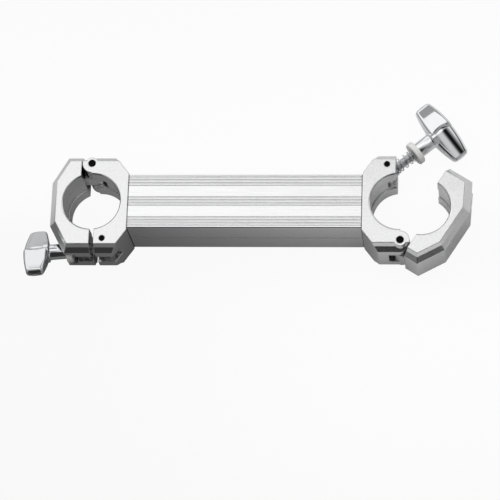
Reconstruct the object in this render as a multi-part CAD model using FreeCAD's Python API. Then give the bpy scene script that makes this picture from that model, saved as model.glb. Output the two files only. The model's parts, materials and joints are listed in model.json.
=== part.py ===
import FreeCAD, Part
import math
import os

# Two hinged tube clamps on the ends of an extruded bar, in millimetres.
# X runs along the bar, Y across it, Z up from the back face to the front face.
# The origin is the centre of the bar's back face.

# Overall layout
TUBE_SPACING = 203.2
TUBE_DIAMETER = 38.1
CLAMP_DEPTH = 40.0

# Walls of the clamp, from the gripped tube out to the flat faces
HINGE_WALL = 9.35
BOLT_WALL = 10.45
END_WALL = 5.15
JAW_WALL = 4.45

# Fixed half of a clamp, measured from its bore centre with the bar on the +X side
SHOULDER_RUN = 6.8
SHOULDER_MARGIN = 1.0
BOLT_SPLIT_X = 2.6

# Double bevel that runs round the front and back edges
BEVEL_INSET = 4.5
BEVEL_DEPTH = 7.5
BEVEL_BREAK_INSET = 1.5
BEVEL_BREAK_DEPTH = 3.5

# Jaw, the moving half of a clamp
JAW_CORNER_RUN = 8.3
JAW_SIDE_HALF_HEIGHT = 14.0
JAW_BOLT_END_X = 0.4
JAW_HINGE_GAP = 0.6

# Relief channel turned in the middle of the bore
BORE_RELIEF_WIDTH = 16.0
BORE_RELIEF_DEPTH = 0.8
BORE_EDGE = 0.7

# Hinge
HINGE_X = -0.9
HINGE_INSET = 1.8
HINGE_PIN_DIAMETER = 5.0
HINGE_BOSS_DIAMETER = 8.4
TONGUE_WIDTH = 12.4
TONGUE_SIDE_GAP = 0.25
TONGUE_END_GAP = 1.4
TONGUE_TOP_GAP = 0.35

# Swing bolt and its pivot
PIVOT_X = 8.3
PIVOT_INSET = 3.75
PIVOT_PIN_DIAMETER = 4.0
LATCH_TILT = 5.2
STUD_DIAMETER = 6.0
STUD_TIP_CHAMFER = 1.0
STUD_END_ROOM = 0.75
EYE_DIAMETER = 10.0
EYE_WIDTH = 10.2
EYE_SIDE_GAP = 0.3
EYE_ROOM = 0.6
COLLAR_INSET = 0.5
COLLAR_END = 6.2
SLOT_RUNOUT_INSET = 2.3
JAW_SLOT_DROP = 4.55

# Round pocket in the jaw that takes the pressure washer
SEAT_X = 11.7
SEAT_GAP = 1.0

# Parts that slide on the stud
WASHER_DIAMETER = 16.2
WASHER_THICKNESS = 3.9
WASHER_HOLE_GAP = 0.3
WASHER_EDGE = 0.5
SPRING_WIRE = 0.8
SPRING_INSET = 0.15
SPRING_WIRE_SIDES = 8
SPRING_TURNS = 5.0
SPRING_END_GAP = 0.1

# Wing nut
NUT_NECK_DIAMETER = 10.3
NUT_NECK_LENGTH = 12.0
NUT_CROWN = 4.2
WING_SPAN = 43.4
WING_END_HEIGHT = 10.7
WING_UNDER_BOW = 3.0
WING_TOP_BOW = 2.8
WING_HUB_HALF = 6.2
WING_TIP_HALF = 4.0
WING_BACK_ROUND = 1.4
WING_BACK_INSET = 0.3
WING_EDGE = 0.9

# Fits and small edges
RUNNING_GAP = 0.05
PIN_RECESS = 0.7
PIN_CHAMFER = 0.4

# Extruded bar
BAR_WIDTH = 37.4
BAR_CORNER = 1.0
RIB_PITCH = 2.0
RIB_GROOVE = 0.6
RIB_GROOVE_DEPTH = 0.35
RIB_COUNT = 4
RIB_BAND_MARGIN = 4.8
SIDE_GROOVE = 1.2
SIDE_GROOVE_DEPTH = 0.6
BAR_WALL = 3.2
BAR_INNER_WALL = 2.4
PORT_WEB = 4.6

# Screw and dowels that join a fixed half to the end of the bar
SCREW_DIAMETER = 5.0
SCREW_HEAD_DIAMETER = 8.5
SCREW_HEAD_HEIGHT = 2.0
SCREW_HEAD_GAP = 0.35
SCREW_HEAD_RECESS = 0.3
SCREW_REACH = 16.0
SCREW_SOCKET_FLATS = 3.0
SCREW_SOCKET_DEPTH = 1.2
DOWEL_DIAMETER = 5.0
DOWEL_MARGIN = 5.7
DOWEL_HOLE_DEPTH = 6.0
DOWEL_REACH = 10.0

# How the two clamps stand: the left one latched, the right one open
LEFT_JAW_ANGLE = 0.0
LEFT_SWING = 0.0
LEFT_WASHER_GAP = 2.35
LEFT_NUT_ROLL = 33.0
RIGHT_JAW_ANGLE = -32.0
RIGHT_SWING = 35.1
RIGHT_WASHER_GAP = 1.45
RIGHT_NUT_ROLL = 11.5

# Sizes that follow from the ones above
BORE_RADIUS = TUBE_DIAMETER / 2
MIDDLE = CLAMP_DEPTH / 2
REACH = 2 * TUBE_DIAMETER
HINGE_HALF_HEIGHT = BORE_RADIUS + HINGE_WALL
BOLT_HALF_HEIGHT = BORE_RADIUS + BOLT_WALL
END_DISTANCE = BORE_RADIUS + END_WALL
SHOULDER_X = END_DISTANCE - SHOULDER_RUN
SHOULDER_Y = BAR_WIDTH / 2 + SHOULDER_MARGIN
JAW_SIDE_X = BORE_RADIUS + JAW_WALL
JAW_CORNER_X = JAW_SIDE_X - JAW_CORNER_RUN
HINGE_Y = HINGE_HALF_HEIGHT - HINGE_INSET
KNUCKLE_RADIUS = BEVEL_INSET + HINGE_INSET
JAW_HINGE_END_X = HINGE_X - KNUCKLE_RADIUS - JAW_HINGE_GAP
TONGUE_RADIUS = KNUCKLE_RADIUS - TONGUE_TOP_GAP
PIVOT_Y = PIVOT_INSET - BOLT_HALF_HEIGHT
BOLT_SLOT_WIDTH = EYE_WIDTH + 2 * EYE_SIDE_GAP
COLLAR_DIAMETER = EYE_WIDTH - 2 * COLLAR_INSET
SPRING_DIAMETER = COLLAR_DIAMETER - 2 * SPRING_INSET
STUD_RADIUS = STUD_DIAMETER / 2
SEAT_DISTANCE = PIVOT_X + SEAT_X
SEAT_DIAMETER = WASHER_DIAMETER + 2 * SEAT_GAP
WING_HEIGHT = WING_UNDER_BOW + WING_END_HEIGHT + WING_TOP_BOW
NUT_BASE_OFFSET = WASHER_THICKNESS + RUNNING_GAP
NUT_HOLE_DEPTH = NUT_NECK_LENGTH + WING_HEIGHT - NUT_CROWN
STUD_LENGTH = SEAT_DISTANCE + NUT_BASE_OFFSET + NUT_HOLE_DEPTH - STUD_END_ROOM
BAR_LENGTH = TUBE_SPACING - 2 * END_DISTANCE
DOWEL_Y = BAR_WIDTH / 2 - DOWEL_MARGIN
SCREW_TOP_X = BORE_RADIUS + BORE_RELIEF_DEPTH + SCREW_HEAD_RECESS
SCREW_SEAT_X = SCREW_TOP_X + SCREW_HEAD_HEIGHT


def vec(x, y, z):
    return FreeCAD.Vector(x, y, z)


X_AXIS = vec(1, 0, 0)
Z_AXIS = vec(0, 0, 1)
ORIGIN = vec(0, 0, 0)


def closed_face(points):
    """Flat face bounded by straight lines through the points."""
    return Part.Face(Part.makePolygon(points + points[:1]))


def slab(outline, low, high):
    """Solid of an XY outline between two heights."""
    face = closed_face([vec(x, y, low) for x, y in outline])
    return face.extrude(vec(0, 0, high - low))


def block(x_range, y_range, z_range):
    size = [pair[1] - pair[0] for pair in (x_range, y_range, z_range)]
    return Part.makeBox(size[0], size[1], size[2], vec(x_range[0], y_range[0], z_range[0]))


def post(diameter, low, high, x=0.0, y=0.0):
    """Round bar that stands along Z."""
    return Part.makeCylinder(diameter / 2, high - low, vec(x, y, low), Z_AXIS)


def rod(diameter, start, end, y=0.0, z=0.0):
    """Round bar that lies along X."""
    return Part.makeCylinder(diameter / 2, end - start, vec(start, y, z), X_AXIS)


def centred(width):
    """Height range of a feature that sits in the middle of the clamp's depth."""
    return (MIDDLE - width / 2, MIDDLE + width / 2)


def edge_line(start, end):
    """Outward unit normal of an outline edge and its distance from the bore centre."""
    dx, dy = end[0] - start[0], end[1] - start[1]
    length = math.hypot(dx, dy)
    normal = (dy / length, -dx / length)
    distance = normal[0] * start[0] + normal[1] * start[1]
    if distance < 0:
        return (-normal[0], -normal[1]), -distance
    return normal, distance


def meet(first, second):
    """Point where two edge lines cross."""
    (ax, ay), a = first
    (bx, by), b = second
    det = ax * by - ay * bx
    return ((a * by - ay * b) / det, (ax * b - a * bx) / det)


def widened(line):
    """The same edge moved out to the widest outline behind the bevel."""
    return line[0], line[1] + BEVEL_INSET


def bevel_cutters(line):
    """Two long prisms that plane the double bevel of one edge, at the front and at the back."""
    normal, distance = line
    steps = [
        (0.0, -REACH),
        (0.0, 0.0),
        (BEVEL_BREAK_INSET, BEVEL_BREAK_DEPTH),
        (BEVEL_INSET, BEVEL_DEPTH),
        (REACH, BEVEL_DEPTH),
        (REACH, -REACH),
    ]
    along = vec(-normal[1] * REACH, normal[0] * REACH, 0)
    cutters = []
    for surface, inward in ((CLAMP_DEPTH, -1), (0.0, 1)):
        points = []
        for out, depth in steps:
            x = normal[0] * (distance + out)
            y = normal[1] * (distance + out)
            points.append(vec(x, y, surface + inward * depth) - along)
        cutters.append(closed_face(points).extrude(along * 2))
    return cutters


def bevelled(solid, lines):
    tools = [cutter for line in lines for cutter in bevel_cutters(line)]
    return solid.cut(tools)


def tube_bore():
    """Space of the gripped tube, with its rims chamfered and a shallow relief channel in the middle."""
    low, high = centred(BORE_RELIEF_WIDTH)
    bore = post(TUBE_DIAMETER, -REACH, REACH)
    wide = BORE_RADIUS + BORE_EDGE
    rims = [
        Part.makeCone(wide, BORE_RADIUS, BORE_EDGE, ORIGIN, Z_AXIS),
        Part.makeCone(wide, BORE_RADIUS, BORE_EDGE, vec(0, 0, CLAMP_DEPTH), -Z_AXIS),
    ]
    return bore.fuse(rims + [post(TUBE_DIAMETER + 2 * BORE_RELIEF_DEPTH, low, high)])


def place_on_bolt(shape, swing):
    """Carry a piece drawn along +X from the pivot to its place on the swing bolt."""
    placed = shape.copy()
    placed.rotate(ORIGIN, Z_AXIS, 180 + LATCH_TILT + swing)
    placed.translate(vec(PIVOT_X, PIVOT_Y, MIDDLE))
    return placed


def fixed_half():
    """Half clamp screwed to the bar, with the forked knuckle and the forked bolt ears."""
    top = ((0.0, 1.0), HINGE_HALF_HEIGHT)
    bottom = ((0.0, -1.0), BOLT_HALF_HEIGHT)
    upper = edge_line((SHOULDER_X, HINGE_HALF_HEIGHT), (END_DISTANCE, SHOULDER_Y))
    lower = edge_line((END_DISTANCE, -SHOULDER_Y), (SHOULDER_X, -BOLT_HALF_HEIGHT))
    high = HINGE_HALF_HEIGHT + BEVEL_INSET
    low = -BOLT_HALF_HEIGHT - BEVEL_INSET
    outline = [
        (HINGE_X, high),
        meet(widened(top), upper),
        (END_DISTANCE, SHOULDER_Y),
        (END_DISTANCE, -SHOULDER_Y),
        meet(lower, widened(bottom)),
        (BOLT_SPLIT_X, low),
        (BOLT_SPLIT_X, 0.0),
        (HINGE_X, 0.0),
    ]
    body = slab(outline, 0.0, CLAMP_DEPTH)
    body = body.fuse(post(2 * KNUCKLE_RADIUS, 0.0, CLAMP_DEPTH, HINGE_X, HINGE_Y))
    body = bevelled(body, [top, bottom])
    body = body.fuse(post(HINGE_BOSS_DIAMETER, 0.0, CLAMP_DEPTH, HINGE_X, HINGE_Y))

    slot_end = HINGE_X + KNUCKLE_RADIUS + TONGUE_END_GAP
    tongue_slot = block(
        (-REACH, slot_end),
        (0.0, REACH),
        centred(TONGUE_WIDTH + 2 * TONGUE_SIDE_GAP),
    )
    bolt_depth = centred(BOLT_SLOT_WIDTH)
    eye_room = EYE_DIAMETER + 2 * EYE_ROOM
    cuts = [
        tube_bore(),
        tongue_slot,
        block((-REACH, PIVOT_X), (-REACH, 0.0), bolt_depth),
        block((PIVOT_X, REACH), (-REACH, SLOT_RUNOUT_INSET - BOLT_HALF_HEIGHT), bolt_depth),
        post(eye_room, bolt_depth[0], bolt_depth[1], PIVOT_X, PIVOT_Y),
        post(HINGE_PIN_DIAMETER, -REACH, REACH, HINGE_X, HINGE_Y),
        post(PIVOT_PIN_DIAMETER, -REACH, REACH, PIVOT_X, PIVOT_Y),
    ]
    cuts.append(rod(SCREW_DIAMETER + 2 * SCREW_HEAD_GAP, 0.0, REACH, 0.0, MIDDLE))
    cuts.append(rod(SCREW_HEAD_DIAMETER + 2 * SCREW_HEAD_GAP, 0.0, SCREW_SEAT_X, 0.0, MIDDLE))
    for y in (-DOWEL_Y, DOWEL_Y):
        cuts.append(rod(DOWEL_DIAMETER, END_DISTANCE - DOWEL_HOLE_DEPTH, REACH, y, MIDDLE))
    return body.cut(cuts).removeSplitter()


def jaw():
    """Hinged half clamp: bevelled five-sided shell, hinge tongue, bolt slot and washer pocket."""
    corners = [
        (0.0, HINGE_HALF_HEIGHT),
        (-JAW_CORNER_X, HINGE_HALF_HEIGHT),
        (-JAW_SIDE_X, JAW_SIDE_HALF_HEIGHT),
        (-JAW_SIDE_X, -JAW_SIDE_HALF_HEIGHT),
        (-JAW_CORNER_X, -BOLT_HALF_HEIGHT),
        (0.0, -BOLT_HALF_HEIGHT),
    ]
    lines = [edge_line(a, b) for a, b in zip(corners, corners[1:])]
    wide = [widened(line) for line in lines]
    outline = [meet(a, b) for a, b in zip(wide, wide[1:])]
    outline.append((-JAW_BOLT_END_X, -BOLT_HALF_HEIGHT - BEVEL_INSET))
    outline.append((-JAW_BOLT_END_X, 0.0))
    outline.append((JAW_HINGE_END_X, 0.0))
    outline.append((JAW_HINGE_END_X, HINGE_HALF_HEIGHT + BEVEL_INSET))
    body = bevelled(slab(outline, 0.0, CLAMP_DEPTH), lines)
    body = body.cut(tube_bore())

    depth = centred(TONGUE_WIDTH)
    root = JAW_HINGE_END_X - KNUCKLE_RADIUS
    arm = block(
        (root, HINGE_X),
        (HINGE_Y - TONGUE_RADIUS, HINGE_Y + TONGUE_RADIUS),
        depth,
    )
    tongue = arm.fuse(post(2 * TONGUE_RADIUS, depth[0], depth[1], HINGE_X, HINGE_Y))
    body = body.fuse(tongue)

    bolt_slot = block(
        (-REACH, REACH),
        (-REACH, PIVOT_Y + JAW_SLOT_DROP),
        centred(BOLT_SLOT_WIDTH),
    )
    pocket = rod(SEAT_DIAMETER, SEAT_DISTANCE, REACH)
    mouth = block(
        (SEAT_DISTANCE, REACH),
        (0.0, REACH),
        (-SEAT_DIAMETER / 2, SEAT_DIAMETER / 2),
    )
    pin_hole = post(HINGE_PIN_DIAMETER + 2 * RUNNING_GAP, -REACH, REACH, HINGE_X, HINGE_Y)
    washer_pocket = place_on_bolt(pocket.fuse(mouth), 0.0)
    return body.cut([bolt_slot, washer_pocket, pin_hole]).removeSplitter()


def pin(diameter, x, y):
    """Dowel pin a little shorter than the clamp is deep, with chamfered ends."""
    low, high = PIN_RECESS, CLAMP_DEPTH - PIN_RECESS
    radius = diameter / 2
    half = [
        vec(0, 0, low),
        vec(radius - PIN_CHAMFER, 0, low),
        vec(radius, 0, low + PIN_CHAMFER),
        vec(radius, 0, high - PIN_CHAMFER),
        vec(radius - PIN_CHAMFER, 0, high),
        vec(0, 0, high),
    ]
    dowel = closed_face(half).revolve(ORIGIN, Z_AXIS, 360)
    dowel.translate(vec(x, y, 0))
    return dowel


def turned(half):
    """Solid turned about the stud's axis from (distance, radius) pairs."""
    points = [vec(along, radius, 0) for along, radius in half]
    return closed_face(points).revolve(ORIGIN, X_AXIS, 360)


def swing_bolt():
    """Eye bolt with a turned collar that carries the spring."""
    eye = Part.makeCylinder(EYE_DIAMETER / 2, EYE_WIDTH, vec(0, 0, -EYE_WIDTH / 2), Z_AXIS)
    stud = turned([
        (0.0, 0.0),
        (0.0, COLLAR_DIAMETER / 2),
        (COLLAR_END, COLLAR_DIAMETER / 2),
        (COLLAR_END, STUD_RADIUS),
        (STUD_LENGTH - STUD_TIP_CHAMFER, STUD_RADIUS),
        (STUD_LENGTH, STUD_RADIUS - STUD_TIP_CHAMFER),
        (STUD_LENGTH, 0.0),
    ])
    hole = post(PIVOT_PIN_DIAMETER + 2 * RUNNING_GAP, -REACH, REACH)
    return eye.fuse(stud).cut(hole).removeSplitter()


def spring(washer_at):
    """Open coil spring between the bolt's collar and the washer, in wire drawn with flats."""
    mean_radius = (SPRING_DIAMETER - SPRING_WIRE) / 2
    start = COLLAR_END + SPRING_END_GAP + SPRING_WIRE / 2
    length = washer_at - SPRING_END_GAP - SPRING_WIRE / 2 - start
    helix = Part.makeHelix(length / SPRING_TURNS, length, mean_radius)
    wire_end = []
    for i in range(SPRING_WIRE_SIDES):
        turn = 2 * math.pi * i / SPRING_WIRE_SIDES
        out = mean_radius + SPRING_WIRE / 2 * math.cos(turn)
        wire_end.append(vec(out, 0, SPRING_WIRE / 2 * math.sin(turn)))
    section = Part.makePolygon(wire_end + wire_end[:1])
    coil = Part.Wire(helix).makePipeShell([section], True, True)
    coil.rotate(ORIGIN, vec(0, 1, 0), 90)
    coil.translate(vec(start, 0, 0))
    return coil


def washer(washer_at):
    """Thick pressure washer with softened rims."""
    outer = WASHER_DIAMETER / 2
    inner = STUD_RADIUS + WASHER_HOLE_GAP
    near, far = washer_at, washer_at + WASHER_THICKNESS
    return turned([
        (near, inner),
        (near, outer - WASHER_EDGE),
        (near + WASHER_EDGE, outer),
        (far - WASHER_EDGE, outer),
        (far, outer - WASHER_EDGE),
        (far, inner),
    ])


def arch(left, crown, right):
    return Part.Arc(left, crown, right).toShape()


def wing():
    """Wing body: a bowed elevation crossed with a lozenge plan, each wing rounded on one face."""
    half = WING_SPAN / 2
    shoulder = WING_UNDER_BOW + WING_END_HEIGHT
    crown = WING_HEIGHT
    deep = WING_HUB_HALF * 2
    under = [vec(WING_UNDER_BOW, -half, -deep), vec(0, 0, -deep), vec(WING_UNDER_BOW, half, -deep)]
    over = [vec(shoulder, half, -deep), vec(crown, 0, -deep), vec(shoulder, -half, -deep)]
    elevation = Part.Wire([
        arch(*under),
        Part.makeLine(under[2], over[0]),
        arch(*over),
        Part.makeLine(over[2], under[0]),
    ])
    side_view = Part.Face(elevation).extrude(vec(0, 0, 2 * deep))

    low = -crown
    front = [vec(low, -half, WING_TIP_HALF), vec(low, 0, WING_HUB_HALF), vec(low, half, WING_TIP_HALF)]
    back = [vec(low, half, -WING_TIP_HALF), vec(low, 0, -WING_HUB_HALF), vec(low, -half, -WING_TIP_HALF)]
    plan = Part.Wire([
        arch(*front),
        Part.makeLine(front[2], back[0]),
        arch(*back),
        Part.makeLine(back[2], front[0]),
    ])
    top_view = Part.Face(plan).extrude(vec(REACH, 0, 0))
    body = side_view.common(top_view)

    # The front of this half is rounded along its length; the other half has that on its back
    radius = (crown ** 2 / 4 + WING_BACK_ROUND ** 2) / (2 * WING_BACK_ROUND)
    rise = WING_HUB_HALF - WING_TIP_HALF
    start = vec(crown / 2, half, WING_HUB_HALF - WING_BACK_INSET + rise - radius)
    along = vec(0, -half, -rise)
    barrel = Part.makeCylinder(radius, REACH, start, along)
    one = body.common(block((-REACH, REACH), (-REACH, 0.0), (-REACH, REACH))).common(barrel)
    long_edges = [edge for edge in one.Edges if edge.BoundBox.YMin < -WING_EDGE]
    one = one.makeChamfer(WING_EDGE, long_edges)
    other = one.copy()
    other.rotate(ORIGIN, X_AXIS, 180)
    return one.fuse(other).removeSplitter()


def wing_nut(washer_at, roll):
    """Wing nut with a long round neck and a blind tapped hole."""
    start = washer_at + NUT_BASE_OFFSET
    root = start + NUT_NECK_LENGTH
    handle = wing()
    handle.translate(vec(root, 0, 0))
    nut = handle.fuse(rod(NUT_NECK_DIAMETER, start, root + WING_UNDER_BOW))
    tapped = rod(STUD_DIAMETER + 2 * RUNNING_GAP, start - NUT_CROWN, start + NUT_HOLE_DEPTH)
    nut = nut.cut(tapped).removeSplitter()
    nut.rotate(ORIGIN, X_AXIS, roll)
    return nut


def bar():
    """Extruded bar: ribbed bands front and back, a line along each side, screw ports and hollows."""
    half = BAR_WIDTH / 2
    body = block((-BAR_LENGTH / 2, BAR_LENGTH / 2), (-half, half), (0.0, CLAMP_DEPTH))
    long_edges = [edge for edge in body.Edges if edge.Length > BAR_LENGTH - BAR_CORNER]
    body = body.makeFillet(BAR_CORNER, long_edges)

    ends = (-BAR_LENGTH, BAR_LENGTH)
    first_rib = -RIB_PITCH * (RIB_COUNT - 1) / 2
    cuts = []
    outer_band = half - RIB_BAND_MARGIN
    for band in (-outer_band, 0.0, outer_band):
        for i in range(RIB_COUNT):
            y = band + first_rib + RIB_PITCH * i
            across = (y - RIB_GROOVE / 2, y + RIB_GROOVE / 2)
            cuts.append(block(ends, across, (CLAMP_DEPTH - RIB_GROOVE_DEPTH, REACH)))
            cuts.append(block(ends, across, (-REACH, RIB_GROOVE_DEPTH)))
    for side in (-1, 1):
        across = sorted((side * (half - SIDE_GROOVE_DEPTH), side * REACH))
        cuts.append(block(ends, across, centred(SIDE_GROOVE)))

    inner = DOWEL_Y - PORT_WEB
    chambers = [
        (BAR_WALL - half, -inner - BAR_INNER_WALL),
        (-inner, inner),
        (inner + BAR_INNER_WALL, half - BAR_WALL),
    ]
    for across in chambers:
        cuts.append(block(ends, across, (BAR_WALL, MIDDLE - PORT_WEB)))
        cuts.append(block(ends, across, (MIDDLE + PORT_WEB, CLAMP_DEPTH - BAR_WALL)))
    cuts.append(rod(SCREW_DIAMETER, ends[0], ends[1], 0.0, MIDDLE))
    for y in (-DOWEL_Y, DOWEL_Y):
        cuts.append(rod(DOWEL_DIAMETER, ends[0], ends[1], y, MIDDLE))
    return body.cut(cuts)


def bar_screw():
    """Low-head socket screw that pulls one fixed half against the end of the bar."""
    head = rod(SCREW_HEAD_DIAMETER, SCREW_TOP_X, SCREW_SEAT_X, 0.0, MIDDLE)
    shank = rod(SCREW_DIAMETER, SCREW_SEAT_X, END_DISTANCE + SCREW_REACH, 0.0, MIDDLE)
    key_radius = SCREW_SOCKET_FLATS / math.sqrt(3)
    corners = []
    for i in range(6):
        turn = math.radians(60 * i)
        y = key_radius * math.cos(turn)
        corners.append(vec(SCREW_TOP_X, y, MIDDLE + key_radius * math.sin(turn)))
    socket = closed_face(corners).extrude(vec(SCREW_SOCKET_DEPTH, 0, 0))
    return head.fuse(shank).cut(socket).removeSplitter()


def dowels():
    """Two plain dowels that keep one fixed half square on the bar."""
    start = END_DISTANCE - DOWEL_HOLE_DEPTH
    end = END_DISTANCE + DOWEL_REACH
    return Part.makeCompound([rod(DOWEL_DIAMETER, start, end, y, MIDDLE) for y in (-DOWEL_Y, DOWEL_Y)])


def opened(shape, angle):
    """Turn a jaw about its hinge pin."""
    turned_jaw = shape.copy()
    turned_jaw.rotate(vec(HINGE_X, HINGE_Y, 0), Z_AXIS, angle)
    return turned_jaw


def to_end(shape, side):
    """Move a clamp piece to its end of the bar; the right clamp is the left one turned half round."""
    placed = shape.copy()
    if side == "right":
        placed.rotate(ORIGIN, Z_AXIS, 180)
        placed.translate(vec(TUBE_SPACING / 2, 0, 0))
    else:
        placed.translate(vec(-TUBE_SPACING / 2, 0, 0))
    return placed


def clamp(jaw_angle, swing, washer_gap, nut_roll):
    """Pieces of one clamp in its own coordinates, by node name."""
    washer_at = SEAT_DISTANCE + washer_gap
    return {
        "fixed_half": fixed_half(),
        "jaw": opened(jaw(), jaw_angle),
        "hinge_pin": pin(HINGE_PIN_DIAMETER, HINGE_X, HINGE_Y),
        "pivot_pin": pin(PIVOT_PIN_DIAMETER, PIVOT_X, PIVOT_Y),
        "swing_bolt": place_on_bolt(swing_bolt(), swing),
        "spring": place_on_bolt(spring(washer_at), swing),
        "washer": place_on_bolt(washer(washer_at), swing),
        "wing_nut": place_on_bolt(wing_nut(washer_at, nut_roll), swing),
        "bar_screw": bar_screw(),
        "dowels": dowels(),
    }


STANCES = {
    "left": (LEFT_JAW_ANGLE, LEFT_SWING, LEFT_WASHER_GAP, LEFT_NUT_ROLL),
    "right": (RIGHT_JAW_ANGLE, RIGHT_SWING, RIGHT_WASHER_GAP, RIGHT_NUT_ROLL),
}


def main():
    os.makedirs("parts", exist_ok=True)
    nodes = {"bar_extrusion": bar()}
    for side, stance in STANCES.items():
        for name, shape in clamp(*stance).items():
            nodes[side + "_" + name] = to_end(shape, side)
    for name, shape in nodes.items():
        shape.exportStep("parts/" + name + ".step")
        print(name, shape.isValid(), len(shape.Solids), round(shape.Volume, 1))


main()
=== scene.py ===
"""Looks of a rack tube clamp: two hinged tube clamps on the ends of an extruded bar.

Lengths of the part are millimetres, and those of the lamps and the table are metres. Meshes are
stored in metres.
"""

import json
import logging
import math
from dataclasses import dataclass
from enum import Enum
from typing import Any

import bmesh
import bpy
import numpy as np
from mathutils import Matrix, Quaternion, Vector


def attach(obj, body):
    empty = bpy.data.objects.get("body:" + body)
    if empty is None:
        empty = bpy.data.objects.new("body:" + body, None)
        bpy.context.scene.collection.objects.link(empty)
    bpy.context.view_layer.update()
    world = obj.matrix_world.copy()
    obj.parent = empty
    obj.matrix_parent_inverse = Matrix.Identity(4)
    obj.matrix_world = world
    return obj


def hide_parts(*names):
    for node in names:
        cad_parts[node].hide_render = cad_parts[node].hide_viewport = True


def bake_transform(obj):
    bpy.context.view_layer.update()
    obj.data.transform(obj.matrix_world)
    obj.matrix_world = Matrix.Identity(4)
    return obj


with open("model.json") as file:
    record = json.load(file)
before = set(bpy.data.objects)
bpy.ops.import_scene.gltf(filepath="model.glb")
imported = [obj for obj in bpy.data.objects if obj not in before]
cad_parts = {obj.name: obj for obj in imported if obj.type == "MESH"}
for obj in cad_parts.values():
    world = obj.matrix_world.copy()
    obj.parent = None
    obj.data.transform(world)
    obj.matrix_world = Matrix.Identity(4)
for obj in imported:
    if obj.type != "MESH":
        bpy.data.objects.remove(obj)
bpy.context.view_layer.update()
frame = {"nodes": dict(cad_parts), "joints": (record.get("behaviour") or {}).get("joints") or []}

LOG = logging.getLogger("rack_tube_clamp")
MM = 0.001
# Fractal noise lies mostly between these values.
NOISE_RANGE = (0.3, 0.7)


class Side(Enum):
    """End of the bar that a clamp sits on; the value is the prefix of its node names."""

    LEFT = "left"
    RIGHT = "right"


class Grain(Enum):
    """How a finish's pattern lies: the stretch of one grain along X, Y and Z."""

    EVEN = (1.0, 1.0, 1.0)
    ALONG_BAR = (60.0, 1.0, 1.0)


def linear(colour: str) -> tuple[float, float, float, float]:
    """Turn an sRGB hex colour to linear light.

    Args:
        colour: Six hex digits, as in "E4E5E6".

    Returns:
        Linear red, green, blue and an alpha of one.
    """
    parts = [int(colour[i:i + 2], 16) / 255 for i in (0, 2, 4)]
    low = [c / 12.92 if c <= 0.04045 else ((c + 0.055) / 1.055) ** 2.4 for c in parts]
    return (low[0], low[1], low[2], 1.0)


def add_node(
    tree: bpy.types.NodeTree,
    kind: str,
    settings: dict[str, Any] | None = None,
    inputs: dict[Any, Any] | None = None,
) -> bpy.types.Node:
    """Add one node with its settings, and its inputs as values or as links.

    Args:
        tree: Node tree that takes the node.
        kind: Blender's type name of the node.
        settings: Attributes of the node.
        inputs: Input name or index to a value, or to the socket that feeds it.

    Returns:
        The new node.
    """
    node = tree.nodes.new(kind)
    for key, value in (settings or {}).items():
        setattr(node, key, value)
    for key, value in (inputs or {}).items():
        if isinstance(value, bpy.types.NodeSocket):
            tree.links.new(value, node.inputs[key])
        else:
            node.inputs[key].default_value = value
    return node


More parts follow.
